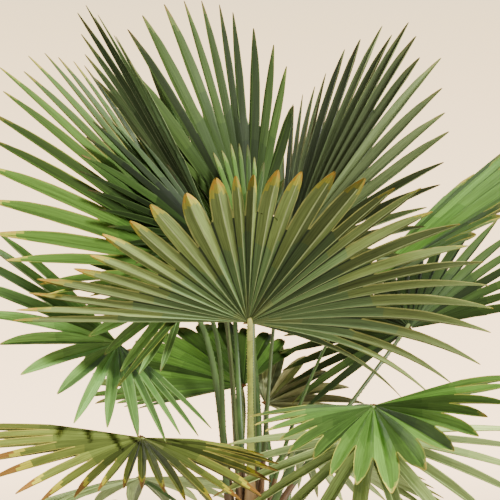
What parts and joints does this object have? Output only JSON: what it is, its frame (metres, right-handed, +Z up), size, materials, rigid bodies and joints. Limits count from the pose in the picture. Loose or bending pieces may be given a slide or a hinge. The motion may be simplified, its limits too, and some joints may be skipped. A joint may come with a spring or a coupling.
{
  "type": "potted windmill palm",
  "caption": "Young windmill palm with a short fibrous trunk, slim petioles and round pleated fan blades cut into fingers, in a plain clay pot filled with soil.",
  "frame": {"origin": "centre of the pot's flat underside", "axes": "+Z up along the trunk, +X to the right and +Y away from the viewer as the picture looks"},
  "size_m": [1.2058, 1.3329, 1.6836],
  "materials": {
    "pot": "matt unglazed clay",
    "soil": "rough crumbs",
    "trunk": "shaggy brown fibre",
    "petiole": "smooth green stem",
    "blade": "leathery leaf, satin"
  },
  "bodies": {
    "root": {"leaf_01_blade": "blade", "leaf_01_petiole": "petiole", "leaf_02_blade": "blade", "leaf_02_petiole": "petiole", "leaf_03_blade": "blade", "leaf_03_petiole": "petiole", "leaf_04_blade": "blade", "leaf_04_petiole": "petiole", "leaf_05_blade": "blade", "leaf_05_petiole": "petiole", "leaf_06_blade": "blade", "leaf_06_petiole": "petiole", "leaf_07_blade": "blade", "leaf_07_petiole": "petiole", "leaf_08_blade": "blade", "leaf_08_petiole": "petiole", "leaf_09_blade": "blade", "leaf_09_petiole": "petiole", "leaf_10_blade": "blade", "leaf_10_petiole": "petiole", "leaf_11_blade": "blade", "leaf_11_petiole": "petiole", "leaf_12_blade": "blade", "leaf_12_petiole": "petiole", "leaf_13_blade": "blade", "leaf_13_petiole": "petiole", "leaf_14_blade": "blade", "leaf_14_petiole": "petiole", "leaf_15_blade": "blade", "leaf_15_petiole": "petiole", "leaf_16_blade": "blade", "leaf_16_petiole": "petiole", "leaf_17_blade": "blade", "leaf_17_petiole": "petiole", "leaf_18_blade": "blade", "leaf_18_petiole": "petiole", "leaf_19_blade": "blade", "leaf_19_petiole": "petiole", "leaf_20_blade": "blade", "leaf_20_petiole": "petiole", "leaf_21_blade": "blade", "leaf_21_petiole": "petiole", "leaf_22_blade": "blade", "leaf_22_petiole": "petiole", "pot": "pot", "soil": "soil", "trunk": "trunk"}
  },
  "joints": []
}
